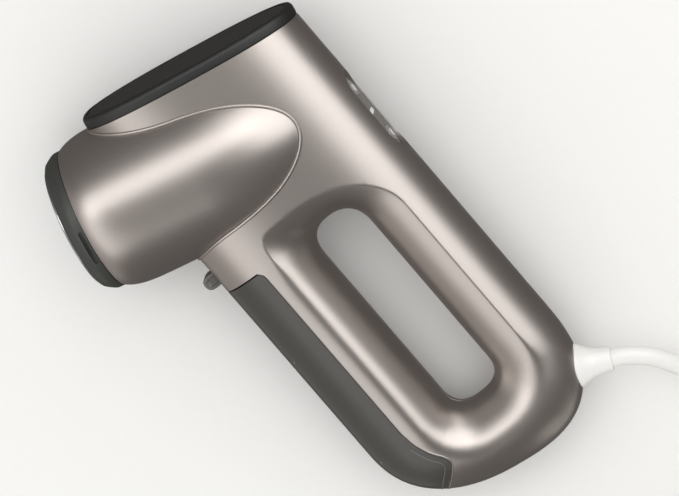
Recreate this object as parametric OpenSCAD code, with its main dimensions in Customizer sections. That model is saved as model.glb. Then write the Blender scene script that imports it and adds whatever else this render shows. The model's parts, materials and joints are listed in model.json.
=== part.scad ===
// Handheld garment steamer with a ring handle, lying on its side on a table.
// The object is drawn in its own frame and then laid down by seat():
// X runs from the cap to the base, Y from the front to the back, Z is the thickness.

/* [Body] */
// Depth of the body from front to back
body_depth = 106; // [100:1:112]
// Half of the body's thickness
body_half = 26.5; // [25:0.5:28]
// Distance from the cap to where the base starts to round in
base_start = 195; // [190:1:200]
// Length of the rounded base
base_length = 48.2; // [44:0.1:52]
// Thickness of the moulded walls
wall = 2.4; // [2:0.1:3]
// Slope of the cap seat, rise per unit of depth
cap_slope = 0.19; // [0.15:0.01:0.22]
// Thickness of the top cap
cap_thick = 5.6; // [4:0.2:7]

/* [Handle opening] */
// Where the finger opening starts, measured from the cap
opening_top = 99.8; // [99:0.1:102]
// Where the finger opening ends
opening_end = 206.5; // [204:0.5:208]
// Front edge of the finger opening
opening_front = 44.2; // [43:0.1:46]
// Back edge of the finger opening
opening_back = 71; // [70:0.1:72]

/* [Steam head] */
// Largest radius of the steam head
head_r = 37.5; // [37:0.1:38]
// Lean of the head's axis
head_tilt = 13; // [12:0.5:14]
// Distance of the head's axis from the cap at the body's front
head_x = 39; // [38:0.5:40]
// Outer radius of the front ring
ring_r = 33.6; // [33:0.1:34]
// Radius of the steam plate
plate_r = 29.2; // [28:0.1:29.3]

/* [Cord] */
// Diameter of the mains cord
cord_d = 8.6; // [8:0.1:9]
// Diameter of the coil at the middle of its turns
coil_mid_d = 95; // [90:1:100]

/* [Fits] */
// Gap between parts that part or slide
gap = 0.35; // [0.3:0.05:0.5]
// Radial clearance of the buttons and other guided pins
slide_gap = 0.2; // [0.15:0.05:0.3]

/* [Hidden] */

// Section and outline curves all share one superellipse power
power = 2.5;
base_skew = 0.15;
mid_y = body_depth / 2;
opening_mid = (opening_front + opening_back) / 2;
opening_half = (opening_back - opening_front) / 2;
// The ridge line where the handle's rounding meets the flank
ridge_back = 91.5;
ridge_front = 29.5;
ridge_top = 83.8;
ridge_bottom = 226.5;
ridge_turn_y = 50.5;
leg_start = 115;
leg_end = 195;
// Share of the quarter arch that the handle's rounding climbs
arch_share = 0.65;
// The parting edge keeps a small upright land
land = 0.3;

// Head: front edge, widest place, start of the tail, tail length and inner end
head_front_t = -26;
tail_t = 30;
tail_length = 66;
head_end_t = 80;

// Strain relief: centre of its base and the lean of its axis
relief_at = [225, 99.5, 0];
relief_tilt = 27.1;
relief_out = 15.5;
cord_start_t = -12;

// Lay of the object on the table: turned about Y and X, then moved
seat_pitch = 4.5;
seat_roll = 1;
seat_move = [-119.05, -37.305, 40.58];

steel = "#B9BCBF";
paint = "#A39A94";
black = "#2E2E2C";
smoke = "#4E4D4A";
white = "#F2F1EE";

// ---- helpers ----

// A skin of flat facets is kept together as one mesh
module one_mesh() { resize([0, 0, 0]) children(); }

module seat() { translate(seat_move) rotate([seat_roll, seat_pitch, 0]) children(); }

function seat_point(p) =
    let(r = [p.x, p.y * cos(seat_roll) - p.z * sin(seat_roll), p.y * sin(seat_roll) + p.z * cos(seat_roll)])
    seat_move + [
        r.x * cos(seat_pitch) + r.z * sin(seat_pitch),
        r.y,
        r.z * cos(seat_pitch) - r.x * sin(seat_pitch)];

module head_frame() { translate([head_x, 0, 0]) rotate([0, 0, -head_tilt]) rotate([-90, 0, 0]) children(); }
module cap_frame() {
    translate([cap_slope * mid_y, mid_y, 0]) rotate([0, 0, -atan(cap_slope)]) rotate([0, -90, 0]) children();
}
module relief_frame() { translate(relief_at) rotate([0, 0, -relief_tilt]) rotate([-90, 0, 0]) children(); }
function relief_point(t) = relief_at + t * [sin(relief_tilt), cos(relief_tilt), 0];

// A tube along the body's X, from x0 to x1
module along_x(x0, x1, y, z, r) {
    translate([x0, y, z]) rotate([0, 90, 0]) cylinder(r = r, h = x1 - x0, $fn = 32);
}

// A round bar from y0 to y1 at x and z
module along_y(y0, y1, x, z, r) {
    translate([x, y0, z]) rotate([-90, 0, 0]) cylinder(r = r, h = y1 - y0, $fn = 32);
}
module block(low, high) { translate(low) cube(high - low); }

function spline(p0, p1, p2, p3, t) =
    0.5 * (2 * p1 + (p2 - p0) * t + (2 * p0 - 5 * p1 + 4 * p2 - p3) * t * t
        + (3 * p1 - p0 - 3 * p2 + p3) * t * t * t);
function smooth_path(points) = [for (i = [0 : len(points) - 2], t = i == len(points) - 2 ? [0, 0.5, 1] : [0, 0.5])
    spline(points[max(i - 1, 0)], points[i], points[i + 1], points[min(i + 2, len(points) - 1)], t)];

// A round tube swept along a path: each ring is square to the path and keeps level with the table
module tube(path, r, sides = 10) {
    n = len(path);
    rings = [for (i = [0 : n - 1])
        let(d = path[min(i + 1, n - 1)] - path[max(i - 1, 0)], u = d / norm(d),
            side = cross(u, [0, 0, 1]) / norm(cross(u, [0, 0, 1])), up = cross(side, u))
        for (k = [0 : sides - 1]) path[i] + r * (cos(k * 360 / sides) * side + sin(k * 360 / sides) * up)];
    polyhedron(points = rings, faces = concat(
        [[for (k = [sides - 1 : -1 : 0]) k]],
        [for (i = [0 : n - 2], k = [0 : sides - 1]) let(a = i * sides, b = a + sides, m = (k + 1) % sides)
            each [[a + k, b + m, b + k], [a + k, a + m, b + m]]],
        [[for (k = [0 : sides - 1]) (n - 1) * sides + k]]));
}

// A wire or hose through a few points
module lead(points, r) { tube(smooth_path(points), r, 8); }

// ---- the body as one closed surface over its side outline ----

function signed_pow(a, e) = sign(a) * pow(abs(a), e);
function super_cos(a, n) = signed_pow(cos(a), 2 / n);
function super_sin(a, n) = signed_pow(sin(a), 2 / n);

// Stations run round the opening: grip, base end, front leg, cap end
grip_n = 5;
base_n = 12;
cap_n = 20;
stations = concat(
    [for (i = [0 : grip_n - 1]) [0, i / grip_n]],
    [for (i = [0 : base_n - 1]) [1, i / base_n]],
    [for (i = [0 : grip_n - 1]) [2, i / grip_n]],
    [for (i = [0 : cap_n - 1]) [3, i / cap_n]]);

function leg_x(f) = leg_start + (leg_end - leg_start) * f;

// Edge of the finger opening, grown outwards by w
function opening_at(s, w) =
    s[0] == 0 ? [leg_x(s[1]), opening_back + w]
    : s[0] == 2 ? [leg_x(1 - s[1]), opening_front - w]
    : let(a = 90 - 180 * s[1], h = opening_half + w)
        s[0] == 1 ? [leg_end + (opening_end - leg_end + w) * super_cos(a, power), opening_mid + h * super_sin(a, power)]
        : [leg_start - (leg_start - opening_top + w) * super_cos(a, power), opening_mid - h * super_sin(a, power)];

// The ridge line, with its sharp turn towards the front of the cap end
function ridge_at(s) =
    s[0] == 0 ? [leg_x(s[1]), ridge_back]
    : s[0] == 2 ? [leg_x(1 - s[1]), ridge_front]
    : let(a = 90 - 180 * s[1], m = (ridge_back + ridge_front) / 2, h = (ridge_back - ridge_front) / 2)
        s[0] == 1 ? [leg_end + (ridge_bottom - leg_end) * super_cos(a, power), m + h * super_sin(a, power)]
        : a > 0 ? [leg_start - (leg_start - ridge_top) * super_cos(a, 6),
            ridge_turn_y - (ridge_turn_y - ridge_front) * super_sin(a, 6)]
        : [leg_start - (leg_start - ridge_top) * cos(a), ridge_turn_y - (ridge_back - ridge_turn_y) * sin(a)];

// Side outline of the body, drawn in by w
front_share = 0.25;
back_share = 0.8;
function outline_at(s, w) =
    let(h = mid_y - w)
    let(top_front = w * 1.02 + cap_slope * w)
    let(top_back = w * 1.02 + cap_slope * (body_depth - w))
    s[0] == 0 ? [leg_x(s[1]), mid_y + h]
    : s[0] == 2 ? [leg_x(1 - s[1]), mid_y - h]
    : s[0] == 1 ? let(a = 90 - 180 * s[1], u = super_sin(a, power))
        [leg_end + (base_length - w) * super_cos(a, power) + base_skew * base_length * u * super_cos(a, power),
         mid_y + h * u]
    : s[1] < front_share ? [leg_start + (top_front - leg_start) * s[1] / front_share, mid_y - h]
    : s[1] < back_share ? let(f = (s[1] - front_share) / (back_share - front_share))
        [top_front + (top_back - top_front) * f, mid_y - h + 2 * h * f]
    : [top_back + (leg_start - top_back) * (s[1] - back_share) / (1 - back_share), mid_y + h];

// Height of the flank above the parting plane, for a body drawn in by w
function flank_z(p, w) =
    let(u = abs(p.y - mid_y) / (mid_y - w),
        s = max(0, p.x - leg_end) / (base_length - w + base_skew * base_length * (p.y - mid_y) / mid_y))
    (body_half - w) * pow(max(0, 1 - pow(u, power) - pow(s, power)), 1 / power);

function arch(q) = sqrt(1 - pow(1 - arch_share * q, 2)) / sqrt(1 - pow(1 - arch_share, 2));

roll_steps = 4;
flank_steps = 6;
// One ring of the half body, k steps out from the finger opening
function half_ring(k, w) = [for (s = stations)
    let(a = opening_at(s, w), b = ridge_at(s), c = outline_at(s, w),
        q = pow(min(1, k / roll_steps), 2), r = 1 - pow(1 - max(0, k - roll_steps) / flank_steps, power),
        p = k <= roll_steps ? a + (b - a) * q : b + (c - b) * r,
        z = k <= roll_steps ? flank_z(b, w) * arch(q) : flank_z(p, w))
    [p.x, p.y, max(land, z)]];

// Half of the body above the plane z = -under, drawn in by w, as a closed solid
module half_body(w = 0, under = 0) {
    n = len(stations);
    rings = roll_steps + flank_steps + 1;
    points = concat(
        [for (k = [0 : rings - 1]) each half_ring(k, w)],
        [for (p = half_ring(rings - 1, w)) [p.x, p.y, -under]],
        [for (p = half_ring(0, w)) [p.x, p.y, -under]]);
    faces = [for (k = [0 : rings + 1], i = [0 : n - 1])
        let(j = (i + 1) % n, a = k * n, b = ((k + 1) % (rings + 2)) * n)
        each [[a + i, b + i, b + j], [a + i, b + j, a + j]]];
    polyhedron(points = points, faces = faces, convexity = 6);
}

module whole_body(w = 0) {
    half_body(w, 0.01);
    mirror([0, 0, 1]) half_body(w, 0.01);
}

// ---- the water tank's outline in the side view, grown by g ----
module tank_outline(g = 0) {
    offset(delta = g) polygon([
        [97.6, -4], [97.6, 19.5], [99.6, 21.5], [leg_end, 21.5], [203, 22.8], [210, 25.6],
        [215.5, 29.4], [218.5, 30.4], [221.5, 28.8], [232, 17], [240, 8], [240, -4]]);
}

// Head radius along its axis
function head_radius(t) =
    t < tail_t ? head_r - (head_r - ring_r) * pow((tail_t - t) / (tail_t - head_front_t), 9)
    : head_r * sqrt(1 - pow((t - tail_t) / tail_length, 2));
head_ts = [for (i = [0 : 5]) head_front_t + (tail_t - head_front_t) * pow(i / 5, 1.8)];
tail_ts = [for (i = [1 : 5]) tail_t + i * (head_end_t - tail_t) / 5];
function head_side(g) = [for (t = concat(head_ts, tail_ts)) [head_radius(t) + g, t]];

module head_solid(g) {
    rotate_extrude($fn = 48) polygon(concat([[0, head_front_t]], head_side(g), [[0, head_end_t + max(0, g)]]));
}

screw_points = [[30, 93], [110, 98.5], [200, 95.5], [101, 27.2], [222, 68]];

module panel_outline(g) {
    hull() for (x = [-11.5, 11.5]) translate([x, 0]) circle(r = 9 + g, $fn = 40);
}
panel_x = 75.5;
panel_face = 103.6;
module panel_frame() { translate([panel_x, panel_face, 0]) rotate([-90, 0, 0]) children(); }

module openings_in_shell() {
    head_frame() head_solid(slide_gap);
    translate([0, 0, -40]) linear_extrude(80) tank_outline(gap);
    panel_frame() translate([0, 0, -12]) linear_extrude(20) panel_outline(0.15);
    relief_frame() translate([0, 0, -20]) cylinder(r = 10.4, h = 40, $fn = 40);
    block([81.5, -3, -5.4], [97.5, 6, 5.4]);
}

// Half of the case, with its screw posts on the inside
module half_shell() {
    difference() {
        union() {
            difference() {
                half_body();
                half_body(wall, 2);
            }
            intersection() {
                half_body(0.6);
                for (p = screw_points) translate([p.x, p.y, 0.1]) cylinder(r = 3.6, h = 40, $fn = 16);
            }
        }
        openings_in_shell();
        children();
    }
}

module left_shell() {
    color(paint) one_mesh() half_shell()
        for (p = screw_points) translate([p.x, p.y, -1]) cylinder(r = 1.5, h = 9, $fn = 16);
}

module right_shell() {
    color(paint) one_mesh() mirror([0, 0, 1]) half_shell()
        for (p = screw_points) {
            translate([p.x, p.y, -1]) cylinder(r = 1.75, h = 60, $fn = 16);
            translate([p.x, p.y, 6.2]) cylinder(r = 3, h = 60, $fn = 16);
        }
}

// Countersunk from the right side; the threads end in the left shell's posts
module case_screws() {
    color(steel) for (p = screw_points) translate([p.x, p.y, 0]) difference() {
        union() {
            translate([0, 0, -8]) cylinder(r = 1.4, h = 14, $fn = 24);
            translate([0, 0, -8.2]) cylinder(r = 2.7, h = 1.9, $fn = 24);
        }
        translate([-0.4, -1.6, -9]) cube([0.8, 3.2, 1.6]);
        translate([-1.6, -0.4, -9]) cube([3.2, 0.8, 1.6]);
    }
}

// ---- cap ----
cap_half = mid_y / cos(atan(cap_slope));
cap_outline = [for (i = [0 : 47]) let(a = i * 7.5) [body_half * super_cos(a, power), cap_half * super_sin(a, power)]];
module cap_slab(from, to, inset) {
    translate([0, 0, from]) linear_extrude(to - from)
        polygon([for (p = cap_outline) [p.x * (1 - inset / body_half), p.y * (1 - inset / cap_half)]]);
}

module top_cap() {
    color(black) cap_frame() difference() {
        union() {
            cap_slab(0, cap_thick - 1.6, 0);
            cap_slab(cap_thick - 1.6, cap_thick - 0.7, 0.5);
            cap_slab(cap_thick - 0.7, cap_thick, 1.4);
        }
        cap_slab(cap_thick - 1.2, cap_thick + 1, 3.2);
        cap_slab(-1, cap_thick - 3, 3);
    }
}

module cap_insert() { color("#343432") cap_frame() cap_slab(cap_thick - 1.2, cap_thick - 0.2, 3.4); }

// ---- steam head ----
// A window inside the body lets the hose and the leads into the head
module head_shell() {
    color(paint) difference() {
        head_frame() rotate_extrude($fn = 96)
            polygon(concat(head_side(0), [for (i = [10 : -1 : 0]) head_side(-wall)[i]]));
        block([72, 27, -12.5], [92, 46, 12.5]);
    }
}

ring_front_t = -34.5;
ring_taper_t = -29.6;
ring_back_t = -26.2;
// Grooves on both flanks, turned a little towards the handle, take the clips of attachments
module front_ring() {
    color("#454845") head_frame() difference() {
        rotate_extrude($fn = 96) polygon([[plate_r + 0.3, ring_front_t], [ring_r - 3.4, ring_front_t],
            [ring_r - 2.4, ring_front_t + 0.8], [ring_r, ring_taper_t], [ring_r, ring_back_t],
            [plate_r + 0.3, ring_back_t]]);
        for (side = [-1, 1]) rotate([0, 0, -11 * side]) {
            for (x = [-7.6, 7.6]) translate([x, side * ring_r, -28.2])
                rotate([90, 0, 0]) cylinder(r = 1, h = 4, center = true, $fn = 24);
            translate([-7.6, side * ring_r - 2, -29.2]) cube([15.2, 4, 2]);
        }
    }
}

plate_back_t = -31.6;
steam_holes = [
    for (i = [0 : 11]) 20 * [cos(30 * i), sin(30 * i)],
    for (i = [0 : 5]) 11 * [cos(60 * i), sin(60 * i)]];
module steam_plate() {
    color(steel) head_frame() difference() {
        translate([0, 0, -35.6]) cylinder(r = plate_r, h = 4, $fn = 96);
        for (p = steam_holes) translate([p.x, p.y, -37]) cylinder(r = 1.3, h = 8, $fn = 24);
    }
}

module plate_gasket() {
    color("#8C3A2E") head_frame() translate([0, 0, plate_back_t]) difference() {
        cylinder(r = 28.5, h = 0.8, $fn = 64);
        translate([0, 0, -1]) cylinder(r = 25.5, h = 3, $fn = 64);
    }
}

boiler_front_t = -30.8;
boiler_screw_angles = [45, 135, 225, 315];
module boiler_block() {
    color("#A9ABAC") head_frame() difference() {
        translate([0, 0, boiler_front_t]) cylinder(r = 27, h = -boiler_front_t, $fn = 64);
        translate([0, 0, boiler_front_t + 5]) cylinder(r = 20.5, h = 40, $fn = 64);
        for (a = [0 : 60 : 300]) rotate([0, 0, a]) translate([15, 0, -40]) cylinder(r = 2, h = 20, $fn = 24);
        for (a = boiler_screw_angles) rotate([0, 0, a]) translate([24, 0, -10]) cylinder(r = 1.5, h = 12, $fn = 24);
    }
}

module boiler_lid() {
    color("#9DA0A2") head_frame() difference() {
        union() {
            cylinder(r = 27, h = 2.5, $fn = 64);
            translate([-11, 0, 2]) cylinder(r = 2.4, h = 8, $fn = 32);
        }
        translate([-11, 0, -1]) cylinder(r = 1.3, h = 14, $fn = 24);
        for (a = boiler_screw_angles) rotate([0, 0, a]) translate([24, 0, -1]) cylinder(r = 1.7, h = 5, $fn = 24);
    }
}

module boiler_screws() {
    color(steel) head_frame() for (a = boiler_screw_angles) rotate([0, 0, a]) translate([24, 0, 0]) {
        translate([0, 0, -8]) cylinder(r = 1.4, h = 11, $fn = 24);
        translate([0, 0, 2.6]) cylinder(r = 2.6, h = 2, $fn = 24);
    }
}

// Ring heater pressed on the lid, open where its two cold ends stand up
module heating_element() {
    color("#6F6A64") head_frame() translate([0, 0, 5.6]) {
        rotate([0, 0, 20]) rotate_extrude(angle = 320, $fn = 64) translate([18, 0]) circle(r = 2.8, $fn = 24);
        for (a = [20, 340]) rotate([0, 0, a]) translate([18, 0, 0]) cylinder(r = 2.8, h = 10, $fn = 24);
    }
}

module thermostat() {
    color("#C9C4B8") head_frame() translate([0, 0, 2.5]) {
        cylinder(r = 7.5, h = 5, $fn = 40);
        for (x = [-3, 3]) translate([x - 0.4, -1.5, 4]) cube([0.8, 3, 6]);
    }
}

module thermal_fuse() {
    color("#D8D3C6") head_frame() translate([-6, 12, 4.6]) rotate([0, 90, 0])
        cylinder(r = 2, h = 12, $fn = 24);
}

module heat_shield() {
    color("#C2B9A0") head_frame() translate([0, 0, -22]) difference() {
        cylinder(r = 30.6, h = 26, $fn = 64);
        translate([0, 0, -1]) cylinder(r = 30, h = 28, $fn = 64);
    }
}

// ---- control panel ----
button_xs = [62, 88.5];
button_r = 4.2;
module control_panel() {
    color("#8E8C8A") difference() {
        panel_frame() translate([0, 0, -2.5]) linear_extrude(2.5) panel_outline(-0.05);
        for (x = button_xs) along_y(90, 110, x, 0, button_r + slide_gap);
        block([panel_x - 1.4, 90, -4.8], [panel_x + 1.4, 110, 4.8]);
    }
}

module button(x) {
    along_y(panel_face - 3.4, panel_face + 0.7, x, 0, button_r);
    along_y(panel_face - 3.4, panel_face - 2.6, x, 0, button_r + 1.1);
}
module power_button() { color("#B9B7B4") button(button_xs[0]); }
module mode_button() { color("#B9B7B4") button(button_xs[1]); }

module indicator_lens() {
    color(white) {
        block([panel_x - 1.2, panel_face - 2.5, -4.6], [panel_x + 1.2, panel_face + 0.1, 4.6]);
        block([panel_x - 2.4, panel_face - 3.5, -5.6], [panel_x + 2.4, panel_face - 2.5, 5.6]);
    }
}

board_back = panel_face - 7.2;
module button_board() {
    color("#2F5D3A") difference() {
        block([55, board_back, -8], [96, board_back + 1.6, 8]);
        for (x = [69, 82]) along_y(80, 110, x, 5.5, 1.1);
    }
}
module tact_switches() {
    color(black) for (x = button_xs)
        block([x - 2.6, board_back + 1.6, -2.6], [x + 2.6, board_back + 2.8, 2.6]);
}

// ---- electronics in the grip ----
module main_board() { color("#2F5D3A") block([122, 78, -1.6], [190, 99, 0]); }
module board_parts() {
    color("#3B4A63") {
        block([126, 80, 0], [145, 92, 9]);
        along_x(150, 164, 88, 5, 5);
        block([168, 82, 0], [182, 96, 8]);
        block([148, 94.5, 0], [162, 97.5, 7]);
    }
}

// Insulated wires between the boards, the heater and the pump
module heater_leads() {
    color("#B03028")
        lead([[64, 29, 9.5], [78, 34, 9], [90.5, 46, 9], [92, 68, 7], [104, 84, 5], [121.8, 88, 2.4]], 1.2);
    color("#2E5FA0")
        lead([[57, 34, -9.5], [76, 35, -9], [90.5, 46, -9], [92, 68, -7], [104, 82, -6], [121.8, 84, -4]], 1.2);
}
module mains_leads() {
    color("#6B4A2E") lead([[190.6, 82, 3], [194, 82, 3], [197.8, 82, 3]], 1.2);
    color("#2E5FA0") lead([[190.6, 86, -3], [194, 86, -3], [197.8, 86, -3]], 1.2);
}

// ---- water tank ----
tank_wall = 2;
module tank_shell() {
    color(smoke) one_mesh() difference() {
        intersection() {
            whole_body();
            translate([0, 0, -40]) linear_extrude(80) tank_outline(0);
        }
        intersection() {
            whole_body(tank_wall);
            translate([0, 0, -40]) linear_extrude(80) polygon([[99.6, -4], [99.6, 40], [leg_end, 40],
                [leg_end, 19.5], [203, 20.8], [210, 23.6], [215, 26.6], [219, 25.5], [229, 14.5], [236, 6], [236, -4]]);
        }
    }
}

// Closes the tank's open side; holes for the filler plug and the spigot
filler_x = 150;
spigot_x = 188;
module tank_lid() {
    color("#5A5956") difference() {
        block([99.9, 18.8, -20], [leg_end - 0.3, 21, 20]);
        along_y(0, 40, filler_x, 0, 6.6);
        along_y(0, 40, spigot_x, 0, 4.1);
    }
}

module filler_plug() {
    color(black) {
        along_y(16.5, 21.2, filler_x, 0, 6.4);
        along_y(21.2, 22.2, filler_x, 0, 8);
    }
}

module tank_spigot() {
    color("#5A5956") difference() {
        union() {
            along_y(17, 29, spigot_x, 0, 4);
            along_y(17, 18.6, spigot_x, 0, 6);
        }
        along_y(10, 40, spigot_x, 0, 2.6);
    }
}
module valve_poppet() { color("#C8C6C0") along_y(19, 28, spigot_x, 0, 2.4); }
module spigot_seal() {
    color(black) difference() {
        along_y(25.2, 26.6, spigot_x, 0, 4.7);
        along_y(20, 30, spigot_x, 0, 4.05);
    }
}

// Wall of the handle behind the tank, with the socket for the spigot
module tank_dock() {
    color("#6E6A66") difference() {
        union() {
            block([106, 23.2, -15], [199, 25, 15]);
            along_y(23.2, 33, spigot_x, 0, 7.5);
            along_y(33, 36, spigot_x, 0, 2.4);
        }
        along_y(20, 31, spigot_x, 0, 4.9);
        along_y(20, 45, spigot_x, 0, 1.3);
        along_y(20, 30, filler_x, 0, 8.6);
    }
}

// Release latch: a tongue in the case with a rounded finger tab
module tank_latch() {
    color("#83817D") {
        block([84.5, 0.6, -4.8], [96.6, 4.2, 4.8]);
        block([86, -3, -4.8], [93, 0.6, 4.8]);
        translate([89.5, -3, -4.8]) intersection() {
            cylinder(r = 3.5, h = 9.6, $fn = 40);
            translate([-5, -5, 0]) cube([10, 5, 9.6]);
        }
    }
}

// ---- pump and hoses in the front leg ----
module pump_body() {
    color("#3A3A3C") {
        along_x(118, 140, 34, 0, 6.4);
        along_x(109, 118, 34, 0, 4);
        along_x(140, 149, 34, 0, 3.6);
    }
}
module pump_mounts() {
    color(black) for (x = [121, 134]) difference() {
        block([x, 25.3, -7.5], [x + 4, 40, 7.5]);
        along_x(x - 1, x + 5, 34, 0, 6.45);
    }
}
module inlet_hose() {
    color("#D9D6CF")
        lead([[149.1, 34, 0], [153, 34, 0], [166, 35, 4], [180, 38, 8], [187.6, 39, 5], [188, 37, 1.4]], 1.8);
}
module outlet_hose() {
    color("#D9D6CF")
        lead([[108.9, 34, 0], [98, 34.5, 0], [80, 34, 0], [64, 27.5, 1], [46, 21, 5], [31.5, 13.6, 0]], 1.8);
}

// ---- mains entry ----
module terminal_block() { color("#E4E1D8") block([198, 80, -5], [207.5, 88.5, 5]); }
module cord_clamp() {
    color("#8A8782") relief_frame() translate([0, 0, -15.5]) difference() {
        translate([-8, -5, 0]) cube([16, 13, 4]);
        translate([0, 0, -1]) cylinder(r = 4.35, h = 6, $fn = 32);
        for (x = [-6.2, 6.2]) translate([x, 2, -1]) cylinder(r = 1, h = 6, $fn = 16);
    }
}
module strain_relief() {
    color(white) relief_frame() rotate_extrude($fn = 64)
        polygon([[4.4, -11], [8, -11], [8, -6], [10.2, -6], [10.2, 0.5], [9.2, 3], [7.4, 7], [6.2, 11],
            [5.7, relief_out], [4.4, relief_out]]);
}

// ---- cord: first along the strain relief, then down to the table and on to the coil ----
cord_points = concat(
    [for (t = [cord_start_t, 0, relief_out, relief_out + 6]) seat_point(relief_point(t))],
    [[122, 89, 22.6], [130, 94, 19], [140, 98, 14], [152, 101, 9.5], [166, 104.5, 6.6], [182, 109, 5.5],
     [200, 113.8, 5.5], [219, 118, 5.5], [238, 120.5, 5.5], [257, 121.1, 5.5]]);
coil_at = [257, 65, 1.2];
coil_layers = 3;
coil_height = coil_layers * cord_d;
coil_width = 3 * cord_d;

cord_path = smooth_path(cord_points);

module cord() { color(white) tube(cord_path, cord_d / 2); }

module cord_coil() {
    color(white) translate(coil_at) rotate_extrude($fn = 96)
        translate([(coil_mid_d - coil_width) / 2, 0]) square([coil_width, coil_height]);
}

tie_thick = 1.2;
tie_inside = coil_width + 1.4;
module cord_tie() {
    color(black) translate([coil_at.x, coil_at.y - coil_mid_d / 2, 0]) difference() {
        translate([-6, -tie_inside / 2 - tie_thick, 0])
            cube([12, tie_inside + 2 * tie_thick, coil_height + 2 * tie_thick]);
        translate([-7, -tie_inside / 2, tie_thick]) cube([14, tie_inside, coil_height]);
    }
}

// Two-pin plug lying on the coil
plug_r = 17;
plug_at = [coil_at.x - 8, coil_at.y - 32, coil_at.z + coil_height + tie_thick + plug_r];
module plug_frame() { translate(plug_at) rotate([0, -90, 0]) children(); }
module plug_body() {
    color(white) plug_frame() {
        cylinder(r = plug_r, h = 22, $fn = 64);
        translate([0, 0, -12]) cylinder(r1 = 8, r2 = 13, h = 12, $fn = 64);
        translate([0, 0, -26]) cylinder(r1 = 5.4, r2 = 8, h = 14, $fn = 48);
    }
}
module plug_pins() {
    color(steel) plug_frame() for (y = [-9.5, 9.5]) translate([0, y, 22]) cylinder(r = 2.4, h = 19, $fn = 32);
}

seat() left_shell();
seat() right_shell();
seat() case_screws();
seat() top_cap();
seat() cap_insert();
seat() head_shell();
seat() front_ring();
seat() steam_plate();
seat() plate_gasket();
seat() boiler_block();
seat() boiler_lid();
seat() boiler_screws();
seat() heating_element();
seat() thermostat();
seat() thermal_fuse();
seat() heat_shield();
seat() control_panel();
seat() power_button();
seat() mode_button();
seat() indicator_lens();
seat() button_board();
seat() tact_switches();
seat() main_board();
seat() board_parts();
seat() heater_leads();
seat() mains_leads();
seat() tank_shell();
seat() tank_lid();
seat() filler_plug();
seat() tank_spigot();
seat() valve_poppet();
seat() spigot_seal();
seat() tank_dock();
seat() tank_latch();
seat() pump_body();
seat() pump_mounts();
seat() inlet_hose();
seat() outlet_hose();
seat() terminal_block();
seat() cord_clamp();
seat() strain_relief();
cord();
cord_coil();
cord_tie();
plug_body();
plug_pins();
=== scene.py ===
"""Looks of a handheld garment steamer that lies on its side, with its mains cord in a tied coil beside it.

Pieces are drawn in the object's own frame in millimetres (X from the cap to the base, Y from the front to
the back, Z across the thickness) and laid on the table by place().
"""
import json
import math

import bpy
import numpy as np
from mathutils import Matrix


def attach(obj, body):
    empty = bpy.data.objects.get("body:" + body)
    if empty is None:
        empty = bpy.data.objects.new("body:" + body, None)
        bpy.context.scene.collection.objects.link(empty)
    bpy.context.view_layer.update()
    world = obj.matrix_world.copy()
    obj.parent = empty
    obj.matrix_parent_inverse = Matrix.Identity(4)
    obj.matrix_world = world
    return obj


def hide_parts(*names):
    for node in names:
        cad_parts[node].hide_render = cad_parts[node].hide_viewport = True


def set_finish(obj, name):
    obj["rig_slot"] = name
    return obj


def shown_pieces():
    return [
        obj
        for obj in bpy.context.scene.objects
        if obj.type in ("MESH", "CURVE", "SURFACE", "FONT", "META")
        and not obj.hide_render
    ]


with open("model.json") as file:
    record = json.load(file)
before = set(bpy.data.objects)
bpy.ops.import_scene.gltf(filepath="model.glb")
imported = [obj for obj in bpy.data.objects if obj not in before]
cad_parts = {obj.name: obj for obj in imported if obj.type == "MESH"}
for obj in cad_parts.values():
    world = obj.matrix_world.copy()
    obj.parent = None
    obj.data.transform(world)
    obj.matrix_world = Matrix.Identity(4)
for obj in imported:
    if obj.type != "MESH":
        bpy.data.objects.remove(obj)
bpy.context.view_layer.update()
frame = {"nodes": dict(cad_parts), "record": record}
scene = bpy.context.scene

# ---- the object's frame and how it lies on the table ----

SEAT_PITCH, SEAT_ROLL = math.radians(4.5), math.radians(1)
SEAT_MOVE = np.array([-119.05, -37.305, 40.58])
SEAT = np.array(Matrix.Rotation(SEAT_PITCH, 3, "Y") @ Matrix.Rotation(SEAT_ROLL, 3, "X"))

# Where the head's, the cap's and the strain relief's axes stand and how they lean
HEAD_X, HEAD_TILT = 39.0, math.radians(13)
CAP_SLOPE = 0.19
CAP_TURN = math.atan(CAP_SLOPE)
RELIEF_AT, RELIEF_TILT = np.array([225, 99.5, 0]), math.radians(27.1)


def seated(points):
    """Points of the object's frame in millimetres, as metres in the row frame."""
    return (np.asarray(points, float) @ SEAT.T + SEAT_MOVE) / 1000


def head_point(across, up, along):
    """A point of the head's frame: across in the side view, up through the thickness, along its axis."""
    across, up, along = np.broadcast_arrays(across, up, along)
    x = HEAD_X + across * math.cos(HEAD_TILT) + along * math.sin(HEAD_TILT)
    return np.stack([x, along * math.cos(HEAD_TILT) - across * math.sin(HEAD_TILT), up], -1)


def relief_point(t):
    """A point on the strain relief's axis, t along it."""
    return RELIEF_AT + t * np.array([math.sin(RELIEF_TILT), math.cos(RELIEF_TILT), 0])


# ---- camera: square to the object's side as it is seen, a long lens ----

back = np.array([-0.15, 0.20, 0.97])
right = np.array([0.635, 0.773, 0])
back, right = SEAT @ back / np.linalg.norm(back), SEAT @ right
right -= back * (right @ back)
right /= np.linalg.norm(right)
target = seated([114.7, 51.3, 0])
turn = np.eye(4)
turn[:3, :3] = np.stack([right, np.cross(back, right), back], 1)
CAMERA_AWAY = 2.6
turn[:3, 3] = target + back * CAMERA_AWAY
lens = bpy.data.cameras.new("camera")
lens.lens = 306
lens.sensor_width = 36
camera = bpy.data.objects.new("camera", lens)
camera.matrix_world = Matrix(turn.tolist())
scene.collection.objects.link(camera)
scene.camera = camera

# ---- helpers for surfaces ----


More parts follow.
